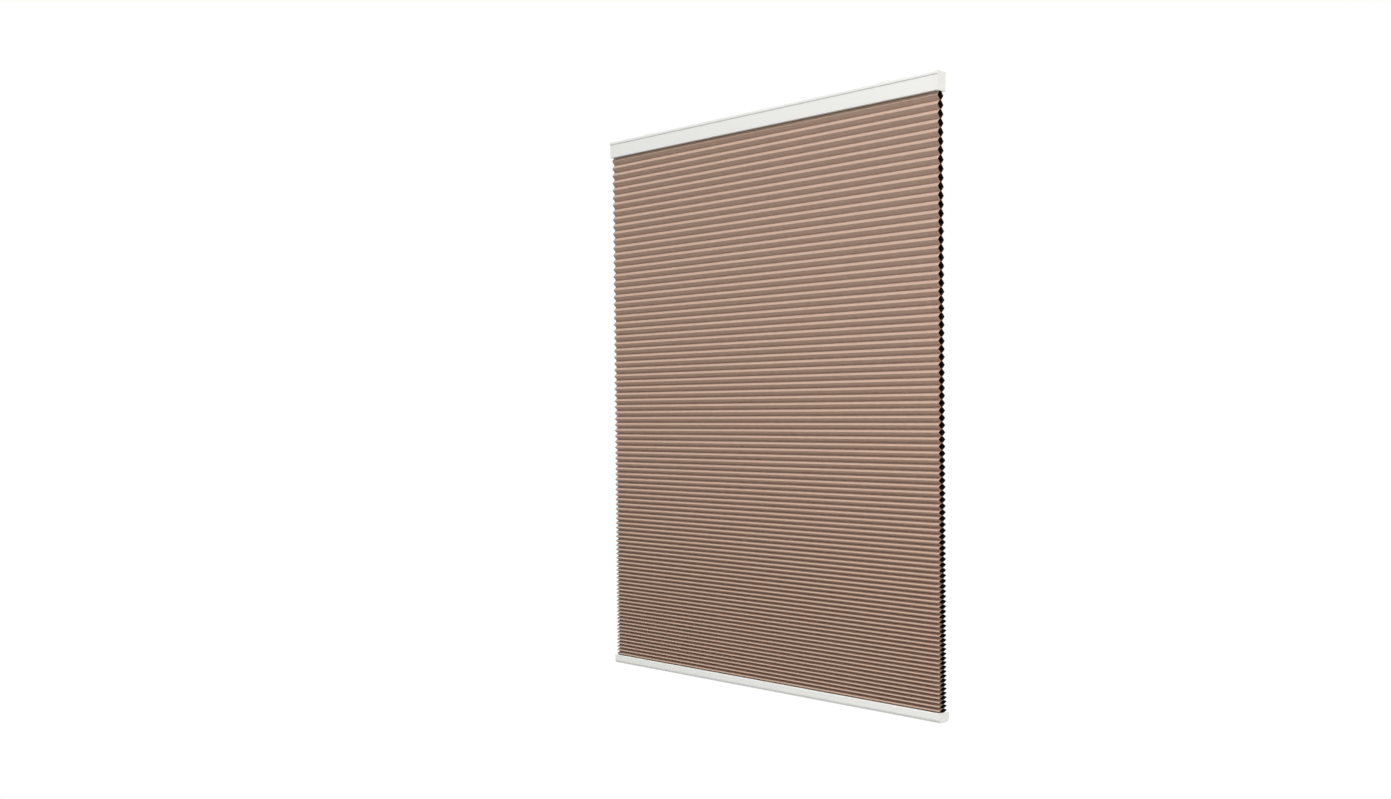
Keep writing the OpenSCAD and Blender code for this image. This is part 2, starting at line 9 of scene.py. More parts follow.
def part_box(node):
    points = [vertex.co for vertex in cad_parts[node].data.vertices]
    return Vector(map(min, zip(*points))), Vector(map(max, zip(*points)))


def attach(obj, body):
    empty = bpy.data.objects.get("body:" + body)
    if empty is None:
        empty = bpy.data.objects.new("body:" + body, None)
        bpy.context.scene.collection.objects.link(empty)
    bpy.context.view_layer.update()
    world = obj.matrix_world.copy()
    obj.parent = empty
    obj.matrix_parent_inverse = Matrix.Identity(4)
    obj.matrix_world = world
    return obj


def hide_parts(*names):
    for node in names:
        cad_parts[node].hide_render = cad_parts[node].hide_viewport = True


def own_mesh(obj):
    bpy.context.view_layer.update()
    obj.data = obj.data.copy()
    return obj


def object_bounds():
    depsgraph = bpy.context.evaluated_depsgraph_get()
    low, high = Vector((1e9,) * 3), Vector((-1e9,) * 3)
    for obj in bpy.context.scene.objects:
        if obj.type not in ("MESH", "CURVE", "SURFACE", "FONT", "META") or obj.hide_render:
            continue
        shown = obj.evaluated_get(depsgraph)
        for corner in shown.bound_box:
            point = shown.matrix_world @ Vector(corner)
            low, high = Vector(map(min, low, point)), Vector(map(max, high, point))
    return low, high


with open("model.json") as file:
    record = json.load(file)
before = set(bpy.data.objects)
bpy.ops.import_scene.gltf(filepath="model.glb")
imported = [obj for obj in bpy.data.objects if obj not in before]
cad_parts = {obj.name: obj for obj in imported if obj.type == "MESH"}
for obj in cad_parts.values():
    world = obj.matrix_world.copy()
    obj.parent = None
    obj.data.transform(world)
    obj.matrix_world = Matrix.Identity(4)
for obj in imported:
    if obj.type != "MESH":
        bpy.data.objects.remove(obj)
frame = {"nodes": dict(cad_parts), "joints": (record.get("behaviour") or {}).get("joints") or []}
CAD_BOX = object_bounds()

bl_info = {
    "name": "Cellular shade",
    "version": (1, 0, 0),
    "blender": (4, 5, 0),
    "location": "View3D > Sidebar > Shade",
    "description": "Cloth, cords, finishes and studio for a cordless cellular shade",
    "category": "Object",
}

MM = 0.001
PHOTO_WIDTH = 1391
# Width of the camera's sensor in millimetres, and how far it sees in metres.
SENSOR_WIDTH = 36.0
VIEW_END = 100.0

JOINTS = {joint["name"]: joint for joint in frame["joints"]}
CLOTH_LOW, CLOTH_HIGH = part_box("honeycomb_fabric")
CORD_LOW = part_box("lift_cord_left")[0]
SIDES = (("left", -1), ("right", 1))

# Material slots of the cloth pieces.
CLOTH, LINING, CUT_EDGE = 0, 1, 2
# How far each of the seven points down one side of a cell strays with its fold.
FOLD_SHARE = np.array([0.0, 0.5, 0.95, 1.0, 0.95, 0.5, 0.0])
SIDE_STEPS = len(FOLD_SHARE) - 1
# Waves along a fold: share of the wander, and period in metres. Glue lines wander less than folds.
WANDER_WAVES = ((1.0, 0.62), (0.6, 0.27), (0.4, 0.12))
GLUE_WANDER = 0.6
# Edges that turn by more than this stay sharp.
SHARP_ANGLE = math.radians(50)
# Points on the rim of a punched hole, two for each corner of the quad around it.
RIM_POINTS = 8
# Steps along each stretch of a cord, and round it.
WRAP_STEPS, RUN_STEPS, TURN_STEPS, DROP_STEPS, KNOT_STEPS = 36, 12, 10, 30, 60
CORD_SIDES = 10

# Patches of slow tone in each metre of a finish, and the swing of its roughness.
TONE_SCALE = 14.0
GLOSS_SWING = 0.06

LAMP_AIM = Vector((0, 0, -0.6))
# Name, place and width of each lamp, in metres.
LAMPS = (
    ("key", (1.6, -4.2, 7.9), 2.4),
    ("fill", (1.2, -4.2, -1.3), 2.4),
    ("side", (4.2, -1.3, 0.3), 2.0),
    ("back", (-1.4, 4.1, 1.3), 2.4),
)


def linear(code):
    """Linear colour with alpha from an sRGB hex code."""
    parts = [int(code[i:i + 2], 16) / 255 for i in (1, 3, 5)]
    return tuple(c / 12.92 if c <= 0.04045 else ((c + 0.055) / 1.055) ** 2.4 for c in parts) + (1.0,)


def length_property(label, text, metres):
    """Setting for a length in metres."""
    return bpy.props.FloatProperty(name=label, description=text, default=metres, unit="LENGTH", precision=5)


def angle_property(label, text, degrees):
    """Setting for an angle, stored in radians."""
    return bpy.props.FloatProperty(name=label, description=text, default=math.radians(degrees),
                                   subtype="ANGLE")


def number_property(label, text, value):
    """Setting for a plain number."""
    return bpy.props.FloatProperty(name=label, description=text, default=value)


def colour_property(label, text, code):
    """Setting for a colour, from its sRGB hex code."""
    return bpy.props.FloatVectorProperty(name=label, description=text, default=linear(code), subtype="COLOR",
                                         size=4, min=0.0, max=1.0)


class HoneycombSizes(bpy.types.PropertyGroup):
    """Sizes of the cells and of the cloth that they are glued from."""
    cell_count: bpy.props.IntProperty(name="Cells", description="Cells between the rails", default=93, min=2)
    pitch_top: length_property("Top pitch", "Height of the top cell, which the weight pulls open", 17.0 * MM)
    pitch_bottom: length_property("Bottom pitch", "Height of the lowest cell", 8.1 * MM)
    wall: length_property("Cell wall", "Slanted length of one cell wall", 11.2 * MM)
    glue: length_property("Glue line", "Width of the glue line between two cells", 5.0 * MM)
    cloth: length_property("Cloth", "Thickness of the cloth", 0.4 * MM)
    end_rise: length_property("End cell rise", "Half the height of the flat cell in each rail", 2.224 * MM)
    end_half: length_property("End cell reach", "Half the depth of the flat cell in each rail", 11.5 * MM)
    crease: length_property("Crease", "Length over which a pleat's fold is rounded", 0.55 * MM)
    bow: length_property("Bow", "Outward bow of a cell wall between fold and glue line", 0.22 * MM)
    wander: length_property("Wander", "How far a fold strays from a straight line", 0.08 * MM)
    cord_place: length_property("Cord place", "Distance from the middle to each cord hole", 300.0 * MM)
    hole: length_property("Cord hole", "Radius of a punched cord hole", 2.0 * MM)
    lip_room: length_property("Lip room", "Room between the closed stack and each rail", 0.1 * MM)
    columns: bpy.props.IntProperty(name="Columns", description="Mesh columns across the width", default=26,
                                   min=4)


class CordSizes(bpy.types.PropertyGroup):
    """Sizes of the two lift cords."""
    radius: length_property("Cord radius", "Radius of the braided cord", 0.6 * MM)
    spool_radius: length_property("Spool radius", "Radius of the cord's middle on its spool", 5.5 * MM)
    roller_radius: length_property("Roller radius", "Radius of the cord's middle on its roller", 4.0 * MM)
    wrap: angle_property("Wrap", "Angle of cord on the spool", 250)
    knot: length_property("Knot", "Radius of the knot at the cord's end", 1.5 * MM)
    squeeze: number_property("Squeeze", "Share of its radius that the cord keeps in the knot", 0.85)
    knot_rise: number_property("Knot rise", "Rise of the knot's loops over a third of their reach", 1.6)


class ShadeColours(bpy.types.PropertyGroup):
    """Colours of the finished surfaces."""
    cloth_light: colour_property("Cloth", "Taupe of the cloth's fibres", "#BEA493")
    cloth_deep: colour_property("Cloth shade", "Taupe between the fibres", "#B69C8B")
    lining: colour_property("Lining", "Blackout lining inside the cells", "#161514")
    cut_edge: colour_property("Cut edge", "Raw edge of the cut cloth", "#7A7068")
    rail: colour_property("Rails", "Powder coat on the rails", "#ECECE9")
    cap: colour_property("End caps", "Moulded end caps and anchors", "#EDECE8")
    strip: colour_property("Strips", "Extruded strips in the end cells", "#DADBD6")
    housing: colour_property("Housing", "Moulded spring box and cord guides", "#4E5054")
    acetal: colour_property("Acetal", "Spools, drums and rollers", "#E4E3DC")
    spring: colour_property("Spring", "Rolled spring strip", "#8D9096")
    zinc: colour_property("Zinc", "Plated brackets, screws and axles", "#A4A8AB")
    cord: colour_property("Cord", "Braided lift cord", "#E8E6DF")


class StudioSettings(bpy.types.PropertyGroup):
    """Camera, lamps and floor of the studio."""
    eye: bpy.props.FloatVectorProperty(name="Camera", description="Place of the camera",
                                       default=(1.8747, -2.0966, -0.6261), subtype="TRANSLATION",
                                       unit="LENGTH")
    focal: number_property("Focal length", "Focal length in pixels of the photograph", 1326.48)
    axis_drop: number_property("Axis drop", "Pixels from the middle down to the lens axis", 48.4)
    yaw: angle_property("Yaw", "Turn of the camera to the left of +Y", 44.671)
    pitch: angle_property("Pitch", "Tilt of the camera above the horizon", -1.673)
    roll: angle_property("Roll", "Turn of the camera about its axis", -0.562)
    key: number_property("Key", "Light from above, as a share of a white level", 0.9)
    fill: number_property("Fill", "Light from the front, as a share", 0.17)
    side: number_property("Side", "Light from the right, as a share", 0.5)
    back: number_property("Back", "Light from behind, as a share", 0.6)
    room: number_property("Room", "Even light from all round, as a share", 0.08)
    floor: colour_property("Floor", "Matt floor under the shade", "#B4B4B2")
    floor_drop: length_property("Floor drop", "Distance from the shade's lowest edge to the floor", 0.78)
    floor_reach: length_property("Floor reach", "Half the width of the floor", 20.0)
    fade_start: length_property("Fade start", "Distance from the middle where the floor starts to fade", 0.3)
    fade_end: length_property("Fade end", "Distance from the middle where the floor is plain white", 1.2)
    fade_near: number_property("Near white", "Share of plain white on the floor under the shade", 0.55)


class ShadeSettings(bpy.types.PropertyGroup):
    """All settings of the shade."""
    honeycomb: bpy.props.PointerProperty(type=HoneycombSizes)
    cords: bpy.props.PointerProperty(type=CordSizes)
    colours: bpy.props.PointerProperty(type=ShadeColours)
    studio: bpy.props.PointerProperty(type=StudioSettings)


def feed(tree, node, inputs):
    """Set a node's inputs: a value is stored, and a socket is linked."""
    for name, value in inputs.items():
        if isinstance(value, bpy.types.NodeSocket):
            tree.links.new(value, node.inputs[name])
        else:
            node.inputs[name].default_value = value


def add_node(tree, kind, inputs=None, **settings):
    """A new node with its settings and inputs."""
    node = tree.nodes.new(kind)
    for name, value in settings.items():
        setattr(node, name, value)
    feed(tree, node, inputs or {})
    return node


def shaded(colour, share):
    """A colour made lighter or darker by that share."""
    return tuple(min(1.0, c * share) for c in colour[:3]) + (1.0,)


def new_material(name):
    """A material with its node tree and its Principled shader."""
    material = bpy.data.materials.new(name)
    material.use_nodes = True
    tree = material.node_tree
    return material, tree, tree.nodes["Principled BSDF"]


def grained_finish(name, colour, *, roughness, grain, depth, stretch=(1, 1, 1), metallic=0.0, tint=0.03,
                   constants=None):
    """A surface with a fine grain of that size and depth in metres, and a slow change of tone and gloss."""
    material, tree, shader = new_material(name)
    place = add_node(tree, "ShaderNodeTexCoord").outputs["Object"]
    fine = add_node(tree, "ShaderNodeMapping", {"Vector": place, "Scale": tuple(s / grain for s in stretch)})
    grit = add_node(tree, "ShaderNodeTexNoise", {"Vector": fine.outputs[0], "Scale": 1.0, "Detail": 3.0})
    slow = add_node(tree, "ShaderNodeTexNoise", {"Vector": place, "Scale": TONE_SCALE, "Detail": 2.0})
    tone = add_node(tree, "ShaderNodeMix", {0: slow.outputs["Fac"], 6: shaded(colour, 1 - tint),
                                            7: shaded(colour, 1 + tint)}, data_type="RGBA")
    gloss = add_node(tree, "ShaderNodeMapRange", {"Value": grit.outputs["Fac"],
                                                  "To Min": roughness - GLOSS_SWING,
                                                  "To Max": roughness + GLOSS_SWING})
    bump = add_node(tree, "ShaderNodeBump", {"Height": grit.outputs["Fac"], "Distance": depth,
                                             "Strength": 0.6})
    feed(tree, shader, {"Base Color": tone.outputs[2], "Roughness": gloss.outputs[0],
                        "Normal": bump.outputs[0], "Metallic": metallic, **(constants or {})})
    return material


def spunlace_polyester(colours):
    # Non-woven polyester, water-jet bonded: matt, with fibres laid along the width and a faint cloudy tone.
    material, tree, shader = new_material("spunlace_polyester_taupe")
    place = add_node(tree, "ShaderNodeTexCoord").outputs["Object"]
    # Fibres are about 0.02 mm thick; they are drawn as coarser bundles so that they show.
    bundle_length, bundle_width = 2.4 * MM, 0.6 * MM
    along = add_node(tree, "ShaderNodeMapping", {
        "Vector": place, "Scale": (1 / bundle_length, 1 / bundle_width, 1 / bundle_width)})
    fibre = add_node(tree, "ShaderNodeTexNoise", {"Vector": along.outputs[0], "Scale": 1.0, "Detail": 4.0,
                                                  "Roughness": 0.6})
    # Clouds come from the uneven laying of the web.
    cloud_size, cloud_share = 12 * MM, 0.45
    cloud = add_node(tree, "ShaderNodeTexNoise", {"Vector": place, "Scale": 1 / cloud_size, "Detail": 2.0})
    blend = add_node(tree, "ShaderNodeMix", {0: cloud_share, 2: fibre.outputs["Fac"],
                                             3: cloud.outputs["Fac"]})
    spread = add_node(tree, "ShaderNodeMapRange", {"Value": blend.outputs[0], "From Min": 0.36,
                                                   "From Max": 0.64})
    tone = add_node(tree, "ShaderNodeMix", {0: spread.outputs[0], 6: colours.cloth_deep,
                                            7: colours.cloth_light}, data_type="RGBA")
    bump = add_node(tree, "ShaderNodeBump", {"Height": fibre.outputs["Fac"], "Distance": 0.08 * MM,
                                             "Strength": 0.5})
    rough = add_node(tree, "ShaderNodeMapRange", {"Value": fibre.outputs["Fac"], "To Min": 0.82,
                                                  "To Max": 0.95})
    feed(tree, shader, {"Base Color": tone.outputs[2], "Roughness": rough.outputs[0],
                        "Normal": bump.outputs[0], "Specular IOR Level": 0.15, "Sheen Weight": 0.02,
                        "Sheen Roughness": 0.4})
    return material


def braided_polyester(colours):
    # Braided polyester: two sets of yarns wound opposite ways, so the surface shows small lozenges.
    material, tree, shader = new_material("braided_polyester_white")
    place = add_node(tree, "ShaderNodeUVMap", uv_map="along").outputs[0]
    # Length of one plait, and pairs of yarns round the cord.
    plait, yarn_pairs = 1.4 * MM, 4.0
    waves = []
    for lean in (1.0, -1.0):
        turned = add_node(tree, "ShaderNodeVectorMath", {0: place, 1: (1 / plait, yarn_pairs * lean, 0.0)},
                          operation="DOT_PRODUCT")
        waves.append(add_node(tree, "ShaderNodeMath", {0: turned.outputs["Value"], 1: 1.0},
                              operation="PINGPONG").outputs[0])
    yarn = add_node(tree, "ShaderNodeMath", {0: waves[0], 1: waves[1]}, operation="MAXIMUM").outputs[0]
    # Painted shade: where the yarn height is low, in the grooves between the yarns, the cord is painted
    # darker than its own white.
    tone = add_node(tree, "ShaderNodeMix", {0: yarn, 6: shaded(colours.cord, 0.72), 7: colours.cord},
                    data_type="RGBA")
    bump = add_node(tree, "ShaderNodeBump", {"Height": yarn, "Distance": 0.1 * MM, "Strength": 0.8})
    feed(tree, shader, {"Base Color": tone.outputs[2], "Normal": bump.outputs[0], "Roughness": 0.75,
                        "Sheen Weight": 0.2})
    return material


def dress(names, material):
    """Give CAD nodes that material."""
    for name in names:
        node = frame["nodes"][name]
        node.data.materials.clear()
        node.data.materials.append(material)


def new_piece(name, vertices, faces, materials, slots=None):
    """A mesh object with its materials, and the material slot of each face."""
    mesh = bpy.data.meshes.new(name)
    mesh.from_pydata(vertices, [], faces)
    for material in materials:
        mesh.materials.append(material)
    if slots is not None:
        mesh.polygons.foreach_set("material_index", np.asarray(slots, np.int32))
    mesh.update()
    if mesh.validate():
        raise RuntimeError(f"{name} has faces that are not sound")
    piece = bpy.data.objects.new(name, mesh)
    bpy.context.scene.collection.objects.link(piece)
    return piece


def soft_fold(upper, tip, lower, crease, bow):
    """Seven points down one side of a cell: glue line, bowed wall, rounded fold, bowed wall, glue line."""
    upper, tip, lower = (np.array(p, float) for p in (upper, tip, lower))
    points = []
    for corner in (upper, lower):
        run = (tip - corner) / np.linalg.norm(tip - corner)
        out = np.array([abs(run[1]), -run[0] * np.sign(run[1])])
        points.append([corner, (corner + tip) / 2 + out * bow, tip - run * crease])
    fold = (points[0][2] + points[1][2] + 2 * tip) / 4
    return points[0] + [fold] + points[1][::-1]


class CellStack:
    """Mesh of cells that share glue lines: a skin, a tunnel through each cell and punched cord holes."""

    def __init__(self, sizes, levels, halves, seed):
        self.sizes, self.levels, self.halves = sizes, levels, halves
        holes = [side * sizes.cord_place for _, side in SIDES]
        margin = 2 * sizes.hole
        even = np.linspace(CLOTH_LOW.x, CLOTH_HIGH.x, sizes.columns)
        even = [x for x in even if all(abs(x - h) > 2 * margin for h in holes)]
        self.x = np.array(sorted(even + [h + s * margin for h in holes for s in (-1, 1)]))
        self.hole_at = {int(np.searchsorted(self.x, h)) - 1: h for h in holes}
        self.random = np.random.default_rng(seed)
        self.vertices, self.faces, self.slots = [], [], []

    def wander(self, free):
        """Slow wave along the width for one fold or glue line."""
        wave = np.zeros(len(self.x))
        for share, period in WANDER_WAVES:
            wave += share * np.sin(2 * math.pi * (self.x / period + self.random.random()))
        return wave * self.sizes.wander * free / 2

    def rows(self, points, waves):
        """Vertex numbers of one row along the width for each point [depth, height]."""
        made = []
        for (y, z), wave in zip(points, waves):
            made.append(np.arange(len(self.x)) + len(self.vertices))
            self.vertices += [(x, y, z + w) for x, w in zip(self.x, wave)]
        return made

    def face(self, corners, slot):
        """Add one face in that material slot."""
        self.faces.append([int(c) for c in corners])
        self.slots.append(slot)

    def loft(self, rows, slot, flip):
        """Strips of quads between rows."""
        for a, b in zip(rows, rows[1:]):
            for j in range(len(self.x) - 1):
                quad = (a[j], b[j], b[j + 1], a[j + 1])
                self.face(quad[::-1] if flip else quad, slot)

    def web(self, front, back, slot, upward):
        """Flat strip between two rows, with the cord holes left open; returns the rim of each hole."""
        rims = []
        for j in range(len(self.x) - 1):
            quad = [front[j], front[j + 1], back[j + 1], back[j]]
            if j not in self.hole_at:
                self.face(quad if upward else quad[::-1], slot)
                continue
            z = sum(self.vertices[c][2] for c in quad) / 4
            rim = []
            for k in range(RIM_POINTS):
                # The first two points face the front edge.
                angle = 2 * math.pi * (k - 2.5) / RIM_POINTS
                rim.append(len(self.vertices))
                self.vertices.append((self.hole_at[j] + self.sizes.hole * math.cos(angle),
                                      self.sizes.hole * math.sin(angle), z))
            for k in range(4):
                near, far = quad[k], quad[(k + 1) % 4]
                side = (near, far, rim[2 * k + 1], rim[2 * k])
                corner = (far, rim[(2 * k + 2) % RIM_POINTS], rim[2 * k + 1])
                for part in (side, corner):
                    self.face(part if upward else part[::-1], slot)
            rims.append(rim)
        return rims

    def profiles(self, n):
        """Outer and inner points [depth, height] down one side of a cell."""
        cloth, glue, half = self.sizes.cloth, self.sizes.glue / 2, self.halves[n]
        top, low = self.levels[n], self.levels[n + 1]
        middle, rise, run = (top + low) / 2, (top - low) / 2, half - glue
        wall = math.hypot(rise, run)
        # Half the tunnel's flat ceiling, one cloth inside the wall and the glue line.
        flat = glue + run * cloth * (1 - run / wall) / rise - cloth * rise / wall
        outer = (glue, top), (half, middle), (glue, low)
        inner = (flat, top - cloth), (half - cloth * wall / rise, middle), (flat, low + cloth)
        return [soft_fold(*points, self.sizes.crease, self.sizes.bow) for points in (outer, inner)]

    def build(self, name, materials):
        """Make the piece: skins, tunnels, glued layers and raw ends."""
        count = len(self.halves)
        lines = [self.wander(0.0 if n in (0, count) else GLUE_WANDER) for n in range(count + 1)]
        skins = {-1: [], 1: []}
        tunnels = []
        for n in range(count):
            outer, inner = self.profiles(n)
            fold = self.wander(1.0 if count > 1 else 0.0)
            upper, lower = lines[n], lines[n + 1]
            to_fold = SIDE_STEPS // 2
            bases = [upper] * to_fold + [(upper + lower) / 2] + [lower] * to_fold
            waves = [base + share * fold for base, share in zip(bases, FOLD_SHARE)]
            tunnel = {}
            for side in (-1, 1):
                # A cell's first row is the last row of the cell above it.
                first = 1 if skins[side] else 0
                skins[side] += self.rows([(side * y, z) for y, z in outer[first:]], waves[first:])
                tunnel[side] = self.rows([(side * y, z) for y, z in inner], waves)
            tunnels.append(tunnel)
        for side in (-1, 1):
            self.loft(skins[side], CLOTH, side > 0)
            for tunnel in tunnels:
                self.loft(tunnel[side], LINING, side < 0)
        self.punched_webs(skins, tunnels)
        self.cut_ends(skins, tunnels)
        return new_piece(name, self.vertices, self.faces, materials, self.slots)

    def punched_webs(self, skins, tunnels):
        """Glued layers between the cells, and the walls of the cord holes through them."""
        upper = self.web(skins[-1][0], skins[1][0], CLOTH, True)
        for tunnel in tunnels + [None]:
            if tunnel:
                lower = self.web(tunnel[-1][0], tunnel[1][0], LINING, False)
            else:
                lower = self.web(skins[-1][-1], skins[1][-1], CLOTH, False)
            for above, below in zip(upper, lower):
                for k in range(RIM_POINTS):
                    m = (k + 1) % RIM_POINTS
                    self.face((above[k], above[m], below[m], below[k]), CUT_EDGE)
            if tunnel:
                upper = self.web(tunnel[-1][-1], tunnel[1][-1], LINING, True)

    def cut_ends(self, skins, tunnels):
        """Raw edges of the cloth at both ends of the cells."""
        for j, turn in ((0, 1), (len(self.x) - 1, -1)):
            for n, tunnel in enumerate(tunnels):
                start = SIDE_STEPS * n
                for side in (-1, 1):
                    skin = skins[side][start:start + SIDE_STEPS + 1]
                    for k in range(SIDE_STEPS):
                        quad = (skin[k][j], tunnel[side][k][j], tunnel[side][k + 1][j], skin[k + 1][j])
                        self.face(quad[::-turn * side], CUT_EDGE)
                for row, way in ((0, 1), (SIDE_STEPS, -1)):
                    near, far = (skins[side][start + row][j] for side in (-1, 1))
                    quad = (near, far, tunnel[1][row][j], tunnel[-1][row][j])
                    self.face(quad[::turn * way], CUT_EDGE)


class SHADE_OT_honeycomb(bpy.types.Operator):
    """Build the glued cells of cloth between the rails and the flat cell held in each rail"""
    bl_idname = "shade.honeycomb"
    bl_label = "Honeycomb cloth"

    def execute(self, context):
        sizes, colours = context.scene.shade.honeycomb, context.scene.shade.colours
        flat_cell = 2 * sizes.end_rise
        top, bottom = CLOTH_HIGH.z - flat_cell, CLOTH_LOW.z + flat_cell
        levels = self.levels(sizes, top, bottom)
        halves = [sizes.glue / 2 + math.sqrt(sizes.wall ** 2 - ((a - b) / 2) ** 2)
                  for a, b in zip(levels, levels[1:])]
        # Black acrylic film laminated inside: smooth, with a soft gloss and shallow wrinkles.
        lining = grained_finish("acrylic_blackout_film", colours.lining, roughness=0.5, grain=3 * MM,
                                depth=0.05 * MM)
        # Hot-knife cut through cloth and film: a rough, fused edge.
        edge = grained_finish("fused_cut_cloth", colours.cut_edge, roughness=0.8, grain=0.5 * MM,
                              depth=0.1 * MM, tint=0.15)
        finishes = [spunlace_polyester(colours), lining, edge]
        # Name, body, heights of the glue lines, half depths and random seed of each stack.
        stacks = (
            ("honeycomb_cells", "head", levels, halves, 11),
            ("honeycomb_end_top", "head", [top + flat_cell, top], [sizes.end_half], 12),
            ("honeycomb_end_bottom", "bottom", [bottom, bottom - flat_cell], [sizes.end_half], 13),
        )
        pieces = []
        for name, body, heights, depths, seed in stacks:
            piece = CellStack(sizes, heights, depths, seed).build(name, finishes)
            piece.data.shade_smooth()
            piece.data.set_sharp_from_angle(angle=SHARP_ANGLE)
            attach(piece, body)
            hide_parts("honeycomb_fabric")
            pieces.append(piece)
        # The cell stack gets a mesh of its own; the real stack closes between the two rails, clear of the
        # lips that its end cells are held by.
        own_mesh(pieces[0])
        return {"FINISHED"}

    def levels(self, sizes, top, bottom):
        """Heights of the glue lines, with a pitch that falls along half a cosine from top to bottom."""
        count = sizes.cell_count
        pitch = (top - bottom) / count
        swing = pitch * (sizes.pitch_top - sizes.pitch_bottom) / (sizes.pitch_top + sizes.pitch_bottom)
        # Adding up the cosine's steps gives a sine of this height.
        bulge = swing / (2 * math.sin(math.pi / 2 / count))
        return [top - n * pitch - bulge * math.sin(math.pi * n / count) for n in range(count + 1)]


def cord_tube(name, points, radius, material):
    """Round cord along points, with its length and its round as a UV map in metres and turns."""
    points = [Vector(p) for p in points]
    reached, vertices, faces, along = [], [], [], []
    side = None
    travelled = 0.0
    for i, point in enumerate(points):
        ahead = points[min(i + 1, len(points) - 1)] - points[max(i - 1, 0)]
        ahead.normalize()
        side = side or ahead.orthogonal()
        side = (side - ahead * side.dot(ahead)).normalized()
        other = ahead.cross(side)
        travelled += (point - points[i - 1]).length if i else 0.0
        reached.append(travelled)
        for k in range(CORD_SIDES):
            angle = 2 * math.pi * k / CORD_SIDES
            vertices.append(point + radius * (math.cos(angle) * side + math.sin(angle) * other))
    for i in range(len(points) - 1):
        here, there = i * CORD_SIDES, (i + 1) * CORD_SIDES
        for k in range(CORD_SIDES):
            m = (k + 1) % CORD_SIDES
            faces.append((here + k, here + m, there + m, there + k))
            turns = k / CORD_SIDES, (k + 1) / CORD_SIDES
            along += [(reached[i], turns[0]), (reached[i], turns[1]),
                      (reached[i + 1], turns[1]), (reached[i + 1], turns[0])]
    last = (len(points) - 1) * CORD_SIDES
    faces += [tuple(range(CORD_SIDES))[::-1], tuple(last + k for k in range(CORD_SIDES))]
    along += [(0.0, 0.0)] * CORD_SIDES + [(travelled, 0.0)] * CORD_SIDES
    piece = new_piece(name, vertices, faces, [material])
    layer = piece.data.uv_layers.new(name="along")
    layer.data.foreach_set("uv", np.array(along, np.float32).ravel())
    piece.data.shade_smooth()
    return piece


def wound_path(sizes, run, axle_z):
    """A cord round its spool, along the rail for that run and over its roller, which lies at the origin."""
    level = axle_z + sizes.roller_radius
    wraps = [sizes.wrap * k / WRAP_STEPS for k in range(WRAP_STEPS, -1, -1)]
    path = [(run + sizes.spool_radius * math.sin(a), sizes.spool_radius * (1 - math.cos(a)), level)
            for a in wraps]
    path += [(run + (sizes.roller_radius - run) * k / RUN_STEPS, 0, level) for k in range(1, RUN_STEPS)]
    turns = [math.pi / 2 * k / TURN_STEPS for k in range(TURN_STEPS + 1)]
    path += [(sizes.roller_radius * (1 - math.sin(a)), 0, axle_z + sizes.roller_radius * math.cos(a))
             for a in turns]
    return path


def knot_path(sizes, centre):
    """A trefoil of squeezed cord round that centre."""
    size = (sizes.knot - sizes.squeeze * sizes.radius) / 3
    path = []
    for k in range(KNOT_STEPS + 1):
        t = 2 * math.pi * k / KNOT_STEPS
        reach = size * (2 + math.cos(3 * t))
        path.append((centre.x + reach * math.cos(2 * t), centre.y + reach * math.sin(2 * t),
                     centre.z + sizes.knot_rise * size * math.sin(3 * t)))
    return path


class SHADE_OT_lift_cords(bpy.types.Operator):
    """Lay each lift cord from its spool over its roller and down to its knot"""
    bl_idname = "shade.lift_cords"
    bl_label = "Lift cords"

    def execute(self, context):
        sizes = context.scene.shade.cords
        braid = braided_polyester(context.scene.shade.colours)
        place = context.scene.shade.honeycomb.cord_place
        for name, side in SIDES:
            axle_z = JOINTS[f"roller_{name}_turn"]["pos_m"][2]
            reach = place - abs(JOINTS[f"spool_{name}_turn"]["pos_m"][0])
            # The cord leaves its spool on a tangent, so it leans a little across the rail.
            lean = math.asin(sizes.spool_radius / reach)
            run = math.sqrt(reach ** 2 - sizes.spool_radius ** 2)
            turned = (Matrix.Scale(-side, 4, (1, 0, 0)) @ Matrix.Translation((-place, 0, 0))
                      @ Matrix.Rotation(-lean, 4, "Z"))
            path = [turned @ Vector(p) for p in wound_path(sizes, run, axle_z)]
            start = turned @ Vector((0, 0, axle_z))
            end = Vector((start.x, start.y, CORD_LOW.z + sizes.knot))
            drop = [start.lerp(end, k / DROP_STEPS) for k in range(DROP_STEPS + 1)]
            thin = sizes.squeeze * sizes.radius
            wound = cord_tube(f"cord_run_{name}", path, sizes.radius, braid)
            hung = cord_tube(f"cord_drop_{name}", drop, sizes.radius, braid)
            knot = cord_tube(f"cord_knot_{name}", knot_path(sizes, end), thin, braid)
            for piece, body in ((wound, "head"), (hung, "head"), (knot, "bottom")):
                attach(piece, body)
                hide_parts(f"lift_cord_{name}")
            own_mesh(hung)
        return {"FINISHED"}


class SHADE_OT_rails(bpy.types.Operator):
    """Finish the two rails"""
    bl_idname = "shade.rails"
    bl_label = "Rails"

    def execute(self, context):
        # Extruded aluminium, powder coated: fine orange peel of about 1 mm and a soft sheen.
        coat = grained_finish("powder_coated_aluminium", context.scene.shade.colours.rail, roughness=0.42,
                              grain=1.1 * MM, depth=0.02 * MM, tint=0.012)
        dress(("head_rail", "bottom_rail"), coat)
        return {"FINISHED"}


